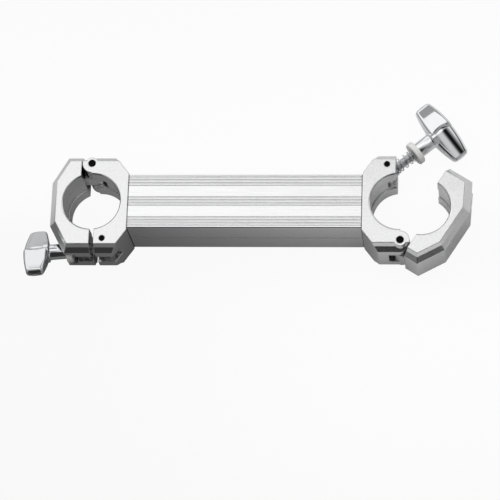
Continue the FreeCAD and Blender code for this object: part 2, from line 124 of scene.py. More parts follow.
@dataclass(frozen=True)
class Finish:
    """One real material and the way its surface was made.

    Attributes:
        name: Common name and process, which names the material.
        slot: Slot of the record that a piece with this finish takes; not used.
        colour: Main sRGB colour.
        tint: sRGB colour that the grain drifts to.
        metallic: One for metal, zero for plastic.
        roughness: Lowest and highest roughness over the grain.
        grain_mm: Real size of one grain.
        grain: How the grain lies.
        relief_mm: Height of the grain.
        edge_mm: Radius that tumbling or plating leaves on an edge.
    """

    name: str
    slot: str
    colour: str
    tint: str
    metallic: float
    roughness: tuple[float, float]
    grain_mm: float
    grain: Grain = Grain.EVEN
    relief_mm: float = 0.002
    edge_mm: float = 0.2

    def material(self) -> bpy.types.Material:
        """Build the finish once and hand out the same material after that.

        The grain is fractal noise on Object coordinates, scaled so that one cell is one grain.
        It drives the colour drift, the roughness and a relief on the softened edge normals.

        Returns:
            The Blender material.
        """
        found = bpy.data.materials.get(self.name)
        if found is not None:
            return found
        made = bpy.data.materials.new(self.name)
        made.use_nodes = True
        tree = made.node_tree
        tree.nodes.clear()
        scale = [1.0 / (self.grain_mm * MM * stretch) for stretch in self.grain.value]
        place = add_node(tree, "ShaderNodeTexCoord")
        cells = add_node(
            tree, "ShaderNodeMapping", None, {"Vector": place.outputs["Object"], "Scale": scale}
        )
        noise = add_node(
            tree,
            "ShaderNodeTexNoise",
            None,
            {"Vector": cells.outputs["Vector"], "Scale": 1.0, "Detail": 3.0, "Roughness": 0.55},
        )
        drift = add_node(
            tree,
            "ShaderNodeMix",
            {"data_type": "RGBA"},
            {0: noise.outputs["Fac"], 6: linear(self.colour), 7: linear(self.tint)},
        )
        # Painted shade, where a finish adds it, darkens the drifted colour.
        colour = self.add_painted_shade(tree, place.outputs["Object"], drift.outputs[2])
        gloss = add_node(
            tree,
            "ShaderNodeMapRange",
            None,
            {
                "Value": noise.outputs["Fac"],
                "From Min": NOISE_RANGE[0],
                "From Max": NOISE_RANGE[1],
                "To Min": self.roughness[0],
                "To Max": self.roughness[1],
            },
        )
        edge = add_node(tree, "ShaderNodeBevel", {"samples": 6}, {"Radius": self.edge_mm * MM})
        height = self.height(tree, place.outputs["Object"], noise.outputs["Fac"])
        relief = add_node(
            tree,
            "ShaderNodeBump",
            None,
            {"Strength": 1.0, "Distance": MM, "Height": height, "Normal": edge.outputs["Normal"]},
        )
        surface = add_node(
            tree,
            "ShaderNodeBsdfPrincipled",
            None,
            {
                "Base Color": colour,
                "Metallic": self.metallic,
                "Roughness": gloss.outputs["Result"],
                "Normal": relief.outputs["Normal"],
            },
        )
        add_node(tree, "ShaderNodeOutputMaterial", None, {"Surface": surface.outputs["BSDF"]})
        return made

    def height(
        self, tree: bpy.types.NodeTree, place: bpy.types.NodeSocket, noise: bpy.types.NodeSocket
    ) -> bpy.types.NodeSocket:
        """Height of the relief in millimetres.

        Args:
            tree: Node tree of the material.
            place: Object coordinates.
            noise: The grain, from nought to one.

        Returns:
            Socket that gives the height.
        """
        grain = add_node(tree, "ShaderNodeMath", {"operation": "MULTIPLY"}, {0: noise, 1: self.relief_mm})
        return grain.outputs[0]

    def add_painted_shade(
        self, tree: bpy.types.NodeTree, place: bpy.types.NodeSocket, colour: bpy.types.NodeSocket
    ) -> bpy.types.NodeSocket:
        """Colour with painted shade; none on a plain finish.

        Args:
            tree: Node tree of the material.
            place: Object coordinates.
            colour: Colour without painted shade.

        Returns:
            Socket that gives the colour.
        """
        return colour


@dataclass(frozen=True)
class CastFinish(Finish):
    """Finish of a casting whose slots and gaps take painted shade from ambient occlusion.

    Attributes:
        reach_mm: Distance over which a wall shelters its neighbour.
        shelter: Open share of the view at which a place takes the full painted shade, and at which it takes
            none.
        shade_colour: sRGB colour of the painted shade.
        swell_mm: Length of the slow waves that casting leaves in a face.
        wave_mm: Height of those waves.
    """

    reach_mm: float = 5.0
    shelter: tuple[float, float] = (0.25, 0.65)
    shade_colour: str = "4A4A4B"
    swell_mm: float = 9.0
    wave_mm: float = 0.06

    def height(
        self, tree: bpy.types.NodeTree, place: bpy.types.NodeSocket, noise: bpy.types.NodeSocket
    ) -> bpy.types.NodeSocket:
        """Height of the grain and of the casting's slow waves, in millimetres.

        Args:
            tree: Node tree of the material.
            place: Object coordinates.
            noise: The grain, from nought to one.

        Returns:
            Socket that gives the height.
        """
        grain = super().height(tree, place, noise)
        swell = add_node(
            tree,
            "ShaderNodeTexNoise",
            None,
            {"Vector": place, "Scale": 1 / (self.swell_mm * MM), "Detail": 0.0},
        )
        waves = add_node(
            tree,
            "ShaderNodeMath",
            {"operation": "MULTIPLY_ADD"},
            {0: swell.outputs["Fac"], 1: self.wave_mm, 2: grain},
        )
        return waves.outputs[0]

    def add_painted_shade(
        self, tree: bpy.types.NodeTree, place: bpy.types.NodeSocket, colour: bpy.types.NodeSocket
    ) -> bpy.types.NodeSocket:
        """Colour with painted shade in sheltered places.

        Args:
            tree: Node tree of the material.
            place: Object coordinates.
            colour: Colour without painted shade.

        Returns:
            Socket that gives the colour.
        """
        # Painted shade: ambient occlusion within reach_mm darkens slots, recesses and the gaps between
        # pieces.
        view = add_node(
            tree, "ShaderNodeAmbientOcclusion", {"samples": 8}, {"Distance": self.reach_mm * MM}
        )
        unshaded = add_node(
            tree,
            "ShaderNodeMapRange",
            None,
            {"Value": view.outputs["AO"], "From Min": self.shelter[0], "From Max": self.shelter[1]},
        )
        mixed = add_node(
            tree,
            "ShaderNodeMix",
            {"data_type": "RGBA"},
            {0: unshaded.outputs[0], 6: linear(self.shade_colour), 7: colour},
        )
        return mixed.outputs[2]


@dataclass(frozen=True)
class RibbedFinish(Finish):
    """Finish of an extruded bar: fine die ribs in its grooved bands and a painted shadow line at its joints.

    Attributes:
        rib_mm: Pitch of the fine ribs.
        crown_mm: Rise of a rib's rounded top.
        bands_mm: Middles of the grooved bands, from the bar's centre line outwards.
        band_half_mm: Half width of a band.
        end_mm: Distance from the bar's middle to its joint with a clamp.
        seam_mm: Width of the painted shadow line at a joint.
        seam_shadow: sRGB colour of the painted shadow line at a joint.
    """

    rib_mm: float = 1.0
    crown_mm: float = 0.055
    bands_mm: tuple[float, ...] = (0.0, 13.9)
    band_half_mm: float = 3.0
    end_mm: float = 77.4
    seam_mm: float = 0.5
    seam_shadow: str = "6A6A6A"

    def height(
        self, tree: bpy.types.NodeTree, place: bpy.types.NodeSocket, noise: bpy.types.NodeSocket
    ) -> bpy.types.NodeSocket:
        """Height of the grain and of the ribs' parabolic tops, in millimetres.

        Args:
            tree: Node tree of the material.
            place: Object coordinates.
            noise: The grain, from nought to one.

        Returns:
            Socket that gives the height.
        """
        total = super().height(tree, place, noise)
        axes = add_node(tree, "ShaderNodeSeparateXYZ", None, {0: place})
        across = add_node(tree, "ShaderNodeMath", {"operation": "ABSOLUTE"}, {0: axes.outputs["Y"]})
        half = self.rib_mm / 2
        crown = (
            ("WRAP", {1: half, 2: -half}),
            ("POWER", {1: 2.0}),
            ("MULTIPLY_ADD", {1: -self.crown_mm / half ** 2, 2: self.crown_mm}),
        )
        for band in self.bands_mm:
            offset = add_node(
                tree,
                "ShaderNodeMath",
                {"operation": "MULTIPLY_ADD"},
                {0: across.outputs[0], 1: 1 / MM, 2: -band},
            ).outputs[0]
            top = offset
            for operation, numbers in crown:
                top = add_node(
                    tree, "ShaderNodeMath", {"operation": operation}, {0: top, **numbers}
                ).outputs[0]
            inside = add_node(
                tree, "ShaderNodeMath", {"operation": "COMPARE"}, {0: offset, 1: 0.0, 2: self.band_half_mm}
            )
            total = add_node(
                tree,
                "ShaderNodeMath",
                {"operation": "MULTIPLY_ADD"},
                {0: top, 1: inside.outputs[0], 2: total},
            ).outputs[0]
        return total

    def add_painted_shade(
        self, tree: bpy.types.NodeTree, place: bpy.types.NodeSocket, colour: bpy.types.NodeSocket
    ) -> bpy.types.NodeSocket:
        """Colour with a fine painted shadow line where the bar meets a clamp.

        Args:
            tree: Node tree of the material.
            place: Object coordinates.
            colour: Colour without the painted shadow line.

        Returns:
            Socket that gives the colour.
        """
        axes = add_node(tree, "ShaderNodeSeparateXYZ", None, {0: place})
        along = add_node(tree, "ShaderNodeMath", {"operation": "ABSOLUTE"}, {0: axes.outputs["X"]})
        # Painted shadow: a narrow band at each end of the bar turns dark, in place of the shade in the joint
        # with the clamp.
        joint = add_node(
            tree,
            "ShaderNodeMath",
            {"operation": "GREATER_THAN"},
            {0: along.outputs[0], 1: (self.end_mm - self.seam_mm) * MM},
        )
        dark = add_node(
            tree,
            "ShaderNodeMix",
            {"data_type": "RGBA"},
            {0: joint.outputs[0], 6: colour, 7: linear(self.seam_shadow)},
        )
        return dark.outputs[2]


# Cast and vibratory tumbled aluminium: pale, even, soft enough to blur reflections a little. The
# tumbling rounds the edges, and painted shade darkens the slots and the gaps between pieces.
TUMBLED_ALUMINIUM = CastFinish(
    name="tumbled_aluminium",
    slot="clamp_aluminium",
    colour="EDEDED",
    tint="E6E6E7",
    metallic=1.0,
    roughness=(0.17, 0.23),
    grain_mm=1.6,
    relief_mm=0.004,
    edge_mm=0.9,
)
# Extruded and clear anodised aluminium: bright, with fine die lines along the bar. The die's ribs in
# the grooved bands turn them an even grey; they are drawn coarse enough to show.
ANODISED_EXTRUSION = RibbedFinish(
    name="clear_anodised_extrusion",
    slot="extruded_aluminium",
    colour="F9F9F9",
    tint="F3F3F4",
    metallic=1.0,
    roughness=(0.18, 0.26),
    grain_mm=0.5,
    grain=Grain.ALONG_BAR,
    relief_mm=0.005,
    edge_mm=0.1,
)
# Polished and chromium plated zinc casting: a clear mirror with a faint orange peel.
CHROME_PLATE = Finish(
    name="polished_chrome_plate",
    slot="chrome",
    colour="EDEEEF",
    tint="E6E8EA",
    metallic=1.0,
    roughness=(0.03, 0.06),
    grain_mm=4.0,
    relief_mm=0.002,
    edge_mm=0.1,
)
# Black oxide on steel: a nearly black metal that gives back only a trace of the light.
BLACK_OXIDE_STEEL = Finish(
    name="black_oxide_steel",
    slot="black_steel",
    colour="1C1C1D",
    tint="121213",
    metallic=1.0,
    roughness=(0.4, 0.55),
    grain_mm=0.4,
    edge_mm=0.1,
)
# Bright zinc plate on steel: pale grey metal with sharp highlights and a slight haze.
ZINC_PLATED_STEEL = Finish(
    name="zinc_plated_steel",
    slot="bolt_steel",
    colour="DDDEE0",
    tint="C6C7CA",
    metallic=1.0,
    roughness=(0.06, 0.12),
    grain_mm=0.5,
    edge_mm=0.08,
)
# Bright drawn spring wire: clear highlights along each coil.
DRAWN_SPRING_WIRE = Finish(
    name="drawn_spring_wire",
    slot="spring_steel",
    colour="DCDCDD",
    tint="C8C8CA",
    metallic=1.0,
    roughness=(0.06, 0.12),
    grain_mm=0.3,
    edge_mm=0.05,
)
# Moulded natural nylon: off-white and matt, with a soft sheen.
MOULDED_NYLON = Finish(
    name="moulded_natural_nylon",
    slot="washer_nylon",
    colour="E2E2E1",
    tint="D8D8D6",
    metallic=0.0,
    roughness=(0.4, 0.55),
    grain_mm=0.8,
    relief_mm=0.003,
    edge_mm=0.3,
)


@dataclass
class Shell:
    """One closed skin as a grid of points.

    Attributes:
        points: Array of rows, columns and three coordinates; the last column joins the first one.
            They are millimetres until a BoltLine carries them.
        hoop: True where the last row joins the first one.
    """

    points: np.ndarray
    hoop: bool = False

    def quads(self) -> np.ndarray:
        """Corner numbers of the grid's faces, one row each.

        A face joins a point to its neighbours in the next row and the next column.

        Returns:
            Integer array of four columns.
        """
        rows, columns = self.points.shape[:2]
        number = np.arange(rows * columns).reshape(rows, columns)
        number = np.hstack([number, number[:, :1]])
        if self.hoop:
            number = np.vstack([number, number[:1]])
        corners = [number[:-1, :-1], number[:-1, 1:], number[1:, 1:], number[1:, :-1]]
        return np.stack([c.ravel() for c in corners], axis=1)


def revolve(profile: np.ndarray, steps: int, hoop: bool = False) -> Shell:
    """Turn a profile about the X axis.

    A point at distance x and radius r goes to (x, r cos t, r sin t) for t round the full circle.

    Args:
        profile: Array of distance and radius pairs.
        steps: Points round the circle.
        hoop: True where the profile is a closed loop.

    Returns:
        The turned shell.
    """
    turn = np.linspace(0, 2 * math.pi, steps, endpoint=False)
    along = np.repeat(profile[:, :1], steps, axis=1)
    points = np.stack(
        [along, np.outer(profile[:, 1], np.cos(turn)), np.outer(profile[:, 1], np.sin(turn))], axis=2
    )
    return Shell(points, hoop)


def make_piece(name: str, shells: list[Shell], smooth_deg: float) -> bpy.types.Object:
    """Put shells into one mesh, close seams and poles, and point the faces outwards.

    Args:
        name: Name of the piece.
        shells: Skins of the piece, with points in the row frame in metres.
        smooth_deg: Edges that turn by more than this stay crisp.

    Returns:
        The new object, linked to the scene.
    """
    points, faces, base = [], [], 0
    for shell in shells:
        flat = shell.points.reshape(-1, 3)
        points.append(flat)
        faces.append(shell.quads() + base)
        base += len(flat)
    mesh = bpy.data.meshes.new(name)
    mesh.from_pydata(np.vstack(points).tolist(), [], np.vstack(faces).tolist())
    work = bmesh.new()
    work.from_mesh(mesh)
    bmesh.ops.remove_doubles(work, verts=work.verts, dist=1e-7)
    bmesh.ops.dissolve_degenerate(work, edges=work.edges, dist=1e-8)
    bmesh.ops.recalc_face_normals(work, faces=work.faces)
    work.to_mesh(mesh)
    work.free()
    mesh.shade_smooth()
    mesh.set_sharp_from_angle(angle=math.radians(smooth_deg))
    piece = bpy.data.objects.new(name, mesh)
    bpy.context.scene.collection.objects.link(piece)
    return piece


def dress(piece: bpy.types.Object, finish: Finish) -> bpy.types.Object:
    """Give a piece its finish.

    Args:
        piece: A CAD node or a new piece.
        finish: Finish to put on it.

    Returns:
        The same piece.
    """
    piece.data.materials.clear()
    piece.data.materials.append(finish.material())
    return piece


@dataclass
class BoltLine:
    """Place of a swing bolt: its pivot and the direction that its stud points in.

    Attributes:
        pivot: Pivot point in the row frame, in metres.
        axis: Unit vector along the stud.
    """

    pivot: np.ndarray
    axis: np.ndarray

    @classmethod
    def of(cls, side: Side) -> "BoltLine":
        """Read the line from the joint that turns the wing nut.

        Args:
            side: Clamp to look at.

        Returns:
            The line at rest.
        """
        joint = next(j for j in frame["joints"] if j["name"] == side.value + "_nut_turn")
        return cls(np.array(joint["pos_m"], float), np.array(joint["axis"], float))

    def at(self, along: float) -> tuple[float, ...]:
        """Point on the stud's axis, so many millimetres from the pivot."""
        return tuple(float(value) for value in self.pivot + MM * along * self.axis)

    def carry(self, shell: Shell) -> Shell:
        """Move a shell drawn along X from the pivot to its place on the bolt.

        A point becomes pivot + x axis + y across + z up, where across is up turned onto the axis.

        Args:
            shell: Shell in millimetres about the pivot.

        Returns:
            Shell in metres in the row frame.
        """
        up = np.array([0.0, 0.0, 1.0])
        across = np.cross(up, self.axis)
        basis = np.stack([self.axis, across, up])
        return Shell(self.pivot + MM * shell.points @ basis, shell.hoop)


@dataclass
class WingNut:
    """Chromed wing nut: each wing is flat on its pushing face and rounded on the other.

    Attributes:
        side: Clamp that it belongs to.
        start: Distance from the pivot to the foot of the neck.
        roll: Turn about the stud at rest, in degrees.
        span: Length of the wing from tip to tip.
        end_height: Height of the wing at its tips, along the stud.
        under_bow: Rise of the underside from the hub to the tips.
        top_bow: Fall of the top from the hub to the tips.
        hub_half: Half depth at the hub.
        tip_half: Half depth at the tips.
        back_round: Fall of a rounded face from its middle to the hub's underside.
        crown_round: Fall of a rounded face from its middle to the hub's top.
        back_inset: How far a rounded face lies inside a flat one.
        round_over: Radius all round the wing's edges.
        arch: How far the rounded face reaches past the hub at mid height.
        change_width: Length over which a flat face turns to a rounded one.
        corner: Added radius of the corners at the tips, seen from the front.
        dome: Rise of the domed end of a wing.
        dome_deg: Lean of the ball's normal where the dome starts.
        neck_diameter: Diameter of the neck.
        neck_length: Length of the neck below the hub.
        neck_inside: How far the neck runs on inside the hub.
        flare: Radius of the hollow between neck and hub.
        chamfer: Chamfer at the hole, and radius round the neck's foot.
        bore: Diameter of the tapped hole.
        cap: Metal left above the tapped hole.
    """

    side: Side
    start: float
    roll: float
    span: float = 43.4
    end_height: float = 10.7
    under_bow: float = 3.0
    top_bow: float = 2.8
    hub_half: float = 6.3
    tip_half: float = 3.0
    back_round: float = 1.2
    crown_round: float = 2.6
    back_inset: float = 0.3
    round_over: float = 1.9
    arch: float = 2.5
    change_width: float = 3.15
    corner: float = 0.2
    dome: float = 0.5
    dome_deg: float = 60.0
    neck_diameter: float = 10.3
    neck_length: float = 12.0
    neck_inside: float = 3.0
    flare: float = 1.6
    chamfer: float = 0.5
    bore: float = 6.1
    cap: float = 4.2

    @property
    def height(self) -> float:
        """Height of the hub along the stud."""
        return self.under_bow + self.end_height + self.top_bow

    def section(self, corner_steps: int, flat_steps: int) -> tuple[np.ndarray, np.ndarray]:
        """Walk once round a square core, pausing at each corner to turn the normal.

        Args:
            corner_steps: Points on the quarter turn at a corner.
            flat_steps: Points along a flat between corners.

        Returns:
            Core positions from -1 to 1 and unit normals, each as rows of height and depth.
        """
        quarter = np.linspace(0, math.pi / 2, corner_steps)
        slide = np.linspace(0, 1, flat_steps + 2)[1:-1]
        cores, normals = [], []
        for k in range(4):
            turn = quarter + k * math.pi / 2
            here = np.sign([math.cos((k + 0.5) * math.pi / 2), math.sin((k + 0.5) * math.pi / 2)])
            there = np.sign([math.cos((k + 1.5) * math.pi / 2), math.sin((k + 1.5) * math.pi / 2)])
            cores.append(np.repeat(here[None], corner_steps, axis=0))
            normals.append(np.stack([np.cos(turn), np.sin(turn)], axis=1))
            cores.append(here + slide[:, None] * (there - here))
            normals.append(np.repeat(normals[-1][-1:], flat_steps, axis=0))
        return np.vstack(cores), np.vstack(normals)

    def face_depth(self, spot: np.ndarray, lift: np.ndarray) -> np.ndarray:
        """Depth of the front face over the wing; the back is the same with the span turned round.

        The flat face falls from hub to tip as a parabola. The rounded one falls in a straight line
        and by half a parabola to its top and to its underside. They change over in a smooth step
        along an arch at the hub.

        Args:
            spot: Places along the span, one per row.
            lift: Heights from the middle of the wing, rows by columns.

        Returns:
            Depths, rows by columns.
        """
        share = (2 * np.abs(spot) / self.span)[:, None]
        fall = self.hub_half - self.tip_half
        flat = self.hub_half - fall * share ** 2
        drop = np.where(lift > 0, self.crown_round, self.back_round) * (2 * lift / self.height) ** 2
        rounded = self.hub_half - self.back_inset - fall * share - drop
        arch = self.arch * (1 - (2 * lift / self.height) ** 2)
        step = np.clip(0.5 - (spot[:, None] - arch) / self.change_width, 0, 1)
        step = step * step * (3 - 2 * step)
        return flat + (rounded - flat) * step

    def wing_shell(self) -> Shell:
        """Swell a bowed core by a ball of the edge radius.

        Along the span the core's underside and top follow parabolas, and its front and back follow
        the two faces. At the tips the ball's normal leans outwards while the core draws in by an arc,
        and the ring then shrinks to a point over a parabolic dome that closes the end.

        Returns:
            Shell about the stud's axis with the hub's underside at X 0.
        """
        body_steps, swing_steps, shrink_steps = 161, 11, 11
        tip_round, limit = self.round_over + self.corner, math.radians(self.dome_deg)
        core_half = self.span / 2 - tip_round * math.sin(limit) - self.dome
        body = np.linspace(-core_half, core_half, body_steps)
        lean = np.linspace(0, limit, swing_steps)[1:]
        shrink = np.linspace(1, 0, shrink_steps)[1:]
        out = np.concatenate([lean, np.full(len(shrink), limit)])
        size = np.concatenate([np.ones(len(lean)), shrink])
        end = core_half + tip_round * np.sin(out) + self.dome * (1 - size ** 2)
        place = np.concatenate([-end[::-1], body, end])
        tilt = np.concatenate([out[::-1], np.zeros(body_steps), out])
        scale = np.concatenate([size[::-1], np.ones(body_steps), size])[:, None]

        share = (2 * place / self.span) ** 2
        inset = self.round_over + self.corner * (1 - np.cos(tilt))
        low = self.under_bow * share + inset
        high = self.height - self.top_bow * share - inset
        core, normal = self.section(corner_steps=9, flat_steps=15)
        height = (low + high)[:, None] / 2 + scale * np.outer((high - low) / 2, core[:, 0])
        lift = height - self.height / 2
        front = self.face_depth(place, lift) - self.round_over
        back = self.face_depth(-place, lift) - self.round_over
        depth = (front - back) / 2 + scale * core[:, 1] * (front + back) / 2
        reach = scale * self.round_over * np.cos(tilt)[:, None]
        across = np.repeat(place[:, None], len(core), axis=1)
        return Shell(np.stack([height + reach * normal[:, 0], across, depth + reach * normal[:, 1]], axis=2))

    def neck_shell(self) -> Shell:
        """Turn the neck with its rounded foot, blind hole and the flare that runs into the wing.

        Returns:
            Shell about the stud's axis with the foot of the neck at X 0.
        """
        radius, hole, cut = self.neck_diameter / 2, self.bore / 2, self.chamfer
        halfway = 0.3 * cut
        bend = np.linspace(0, math.pi / 2, 9)
        run = self.neck_length - self.flare + self.flare * np.sin(bend)
        swell = radius + self.flare * (1 - np.cos(bend))
        depth = self.neck_length + self.height - self.cap
        inside = self.neck_length + self.neck_inside
        profile = np.vstack([
            [[depth, 0.0], [depth, hole], [cut, hole], [0.0, hole + cut], [0.0, radius - cut]],
            [[halfway, radius - halfway], [cut, radius]],
            np.stack([run, swell], axis=1),
            [[inside, radius + self.flare], [inside, 0.0]],
        ])
        return revolve(profile, 72)

    def build(self, line: BoltLine) -> bpy.types.Object:
        """Make the nut on its bolt, in place of its CAD node.

        Args:
            line: Place of the bolt.

        Returns:
            The finished piece.
        """
        roll = math.radians(self.roll)
        turn = np.array([
            [1.0, 0.0, 0.0],
            [0.0, math.cos(roll), math.sin(roll)],
            [0.0, -math.sin(roll), math.cos(roll)],
        ])
        placed = []
        for shell, rise in ((self.wing_shell(), self.neck_length), (self.neck_shell(), 0.0)):
            moved = shell.points + np.array([self.start + rise, 0.0, 0.0])
            placed.append(line.carry(Shell(moved @ turn, shell.hoop)))
        name = self.side.value + "_wing_nut"
        piece = make_piece(name + "_chromed", placed, smooth_deg=40.0)
        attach(piece, self.side.value + "_nut")
        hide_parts(name)
        return dress(piece, CHROME_PLATE)


@dataclass
class SwingBolt:
    """Eye bolt with a turned collar and a rolled thread.

    Attributes:
        side: Clamp that it belongs to.
        length: Distance from the pivot to the tip.
        major: Outer diameter of the thread.
        pitch: Advance of the thread in one turn.
        depth: Depth of the thread.
        root_share: Share of the pitch that is flat at the root.
        flank_share: Share of the pitch that the two flanks take.
        eye_diameter: Outside of the eye.
        eye_width: Width of the eye along the pivot pin.
        eye_hole: Hole for the pivot pin.
        eye_wall: Distance from that hole to the start of the collar.
        eye_edge: Broken edge of the eye.
        collar_diameter: Outside of the collar.
        collar_end: Distance from the pivot to the collar's face.
        collar_edge: Broken edge of the collar.
        chamfer: Chamfer at the tip.
    """

    side: Side
    length: float = 47.5
    major: float = 6.0
    pitch: float = 1.0
    depth: float = 0.45
    root_share: float = 0.12
    flank_share: float = 0.44
    eye_diameter: float = 10.0
    eye_width: float = 10.2
    eye_hole: float = 4.1
    eye_wall: float = 0.6
    eye_edge: float = 0.4
    collar_diameter: float = 9.2
    collar_end: float = 6.2
    collar_edge: float = 0.35
    chamfer: float = 1.0

    def eye_shell(self) -> Shell:
        """Turn the eye's ring about the pivot, with broken edges.

        Returns:
            Ring shell about the pivot pin's axis, which is Z.
        """
        outer, inner, half = self.eye_diameter / 2, self.eye_hole / 2, self.eye_width / 2
        edge = self.eye_edge
        loop = np.array([
            [-half, inner], [-half, outer - edge], [-half + edge, outer],
            [half - edge, outer], [half, outer - edge], [half, inner],
        ])
        ring = revolve(loop, 64, hoop=True)
        return Shell(ring.points[:, :, [1, 2, 0]], ring.hoop)

    def collar_shell(self) -> Shell:
        """Turn the collar that the spring sits on.

        Returns:
            Shell along X from inside the eye to the collar's face.
        """
        radius, edge = self.collar_diameter / 2, self.collar_edge
        inside = self.eye_hole / 2 + self.eye_wall
        profile = np.array([
            [inside, 0.0], [inside, radius], [self.collar_end - edge, radius],
            [self.collar_end, radius - edge], [self.collar_end, 0.0],
        ])
        return revolve(profile, 64)

    def thread_shell(self) -> Shell:
        """Wind a rolled thread with broad crests on the stud.

        The radius is the root plus the depth times a clipped triangle wave of the phase, which is the
        distance along the stud over the pitch less the turn over a full circle. Towards the tip
        the radius is held under the tip's chamfer.

        Returns:
            Shell along X from inside the collar to the tip.
        """
        sink, steps, rows_per_turn = 0.5, 48, 10
        start = self.collar_end - sink
        count = int((self.length - start) / self.pitch * rows_per_turn)
        along = np.linspace(start, self.length, count)
        turn = np.linspace(0, 2 * math.pi, steps, endpoint=False)
        phase = along[:, None] / self.pitch - turn[None, :] / (2 * math.pi)
        wave = np.abs(2 * (phase - np.floor(phase)) - 1)
        ridge = np.clip((wave - self.root_share) / self.flank_share, 0, 1)
        radius = self.major / 2 - self.depth * (1 - ridge)
        limit = self.major / 2 - np.clip(along - (self.length - self.chamfer), 0, None)
        radius = np.minimum(radius, limit[:, None])
        radius = np.vstack([np.zeros((1, steps)), radius, np.zeros((1, steps))])
        along = np.concatenate([along[:1], along, along[-1:]])
        points = np.stack(
            [np.repeat(along[:, None], steps, axis=1), radius * np.cos(turn), radius * np.sin(turn)], axis=2
        )
        return Shell(points)

    def build(self, line: BoltLine) -> bpy.types.Object:
        """Make the bolt in place of its CAD node.

        Args:
            line: Place of the bolt.

        Returns:
            The finished piece.
        """
        shells = [self.eye_shell(), self.collar_shell(), self.thread_shell()]
        name = self.side.value + "_swing_bolt"
        piece = make_piece(name + "_threaded", [line.carry(s) for s in shells], smooth_deg=30.0)
        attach(piece, self.side.value + "_bolt")
        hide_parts(name)
        return dress(piece, ZINC_PLATED_STEEL)


@dataclass
class CoilSpring:
    """Round wire spring with closed ends between the collar and the washer.

    Attributes:
        side: Clamp that it belongs to.
        end: Distance from the pivot to the washer's face.
        start: Distance from the pivot to the collar's face.
        wire: Wire diameter.
        diameter: Outside of the coil.
        turns: Coils from end to end.
        gap: Clearance to the collar and to the washer.
    """

    side: Side
    end: float
    start: float = 6.2
    wire: float = 0.8
    diameter: float = 8.9
    turns: float = 5.0
    gap: float = 0.1

    def wire_shell(self) -> Shell:
        """Sweep a round section along a left-hand helix whose lead eases off at both ends.

        The advance is the turn's share of the length, smoothed so that the end coils lie square.
        Each ring of the section is spanned by the outward radius and the binormal of the helix.

        Returns:
            Shell along X, closed at both wire ends.
        """
        mean = (self.diameter - self.wire) / 2
        low = self.start + self.gap + self.wire / 2
        high = self.end - self.gap - self.wire / 2
        steps_per_turn, ring_steps, ease = 40, 12, 0.5
        steps = int(self.turns * steps_per_turn)
        share = np.linspace(0, 1, steps)
        turn = -2 * math.pi * self.turns * share
        eased = share - ease * np.sin(2 * math.pi * share) / (2 * math.pi)
        along = low + (high - low) * eased
        centre = np.stack([along, mean * np.cos(turn), mean * np.sin(turn)], axis=1)
        outward = np.stack([np.zeros(steps), np.cos(turn), np.sin(turn)], axis=1)
        tangent = np.gradient(centre, axis=0)
        tangent = tangent / np.linalg.norm(tangent, axis=1, keepdims=True)
        binormal = np.cross(tangent, outward)
        ring = np.linspace(0, 2 * math.pi, ring_steps, endpoint=False)
        size = np.full(steps, self.wire / 2)
        size[0] = size[-1] = 0.0
        reach = outward[:, None, :] * np.cos(ring)[None, :, None]
        reach = reach + binormal[:, None, :] * np.sin(ring)[None, :, None]
        return Shell(centre[:, None, :] + size[:, None, None] * reach)

    def build(self, line: BoltLine) -> bpy.types.Object:
        """Make the spring in place of its CAD node.

        Args:
            line: Place of the bolt.

        Returns:
            The finished piece.
        """
        name = self.side.value + "_spring"
        piece = make_piece(name + "_coil", [line.carry(self.wire_shell())], smooth_deg=60.0)
        foot, head = (line.at(spot) for spot in (self.start + self.wire, self.end - self.wire))
        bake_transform(piece)
        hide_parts(name)
        return dress(piece, DRAWN_SPRING_WIRE)


@dataclass
class TubeClamp:
    """One clamp: its CAD castings and pins dressed, and its closure built.

    Attributes:
        side: End of the bar.
        washer_at: Distance from the pivot to the washer's near face.
        nut_roll: Turn of the wing nut at rest, in degrees.
        washer_thickness: Thickness of the pressure washer.
        nut_gap: Running gap between washer and nut.
    """

    side: Side
    washer_at: float
    nut_roll: float
    washer_thickness: float = 3.9
    nut_gap: float = 0.05

    def dress_castings(self) -> list[bpy.types.Object]:
        """Put the finishes on the CAD nodes of this clamp and list them."""
        finishes = {
            "fixed_half": TUMBLED_ALUMINIUM,
            "jaw": TUMBLED_ALUMINIUM,
            "hinge_pin": BLACK_OXIDE_STEEL,
            "pivot_pin": BLACK_OXIDE_STEEL,
            "bar_screw": BLACK_OXIDE_STEEL,
            "dowels": ZINC_PLATED_STEEL,
            "washer": MOULDED_NYLON,
        }
        nodes = frame["nodes"]
        return [dress(nodes[f"{self.side.value}_{part}"], finish) for part, finish in finishes.items()]

    def build(self) -> list[bpy.types.Object]:
        """Dress the castings and build the bolt, spring and nut.

        Returns:
            All pieces of the clamp.
        """
        line = BoltLine.of(self.side)
        foot = self.washer_at + self.washer_thickness + self.nut_gap
        closure = [
            SwingBolt(self.side).build(line),
            CoilSpring(self.side, end=self.washer_at).build(line),
            WingNut(self.side, start=foot, roll=self.nut_roll).build(line),
        ]
        return self.dress_castings() + closure


@dataclass
class Bar:
    """The extruded bar between the clamps.

    Attributes:
        node: Name of its CAD node.
    """

    node: str = "bar_extrusion"

    def build(self) -> list[bpy.types.Object]:
        """Dress the bar's CAD node and list it."""
        return [dress(frame["nodes"][self.node], ANODISED_EXTRUSION)]


@dataclass(frozen=True)
class Card:
    """A round card of even brightness, far from the object, laid over the cards before it.

    Attributes:
        towards: Direction from the object to the card's middle.
        half_deg: Half angle that the card covers.
        soft_deg: Angle over which its edge fades.
        level: Brightness, where one is white.
    """

    towards: tuple[float, float, float]
    half_deg: float
    soft_deg: float
    level: float


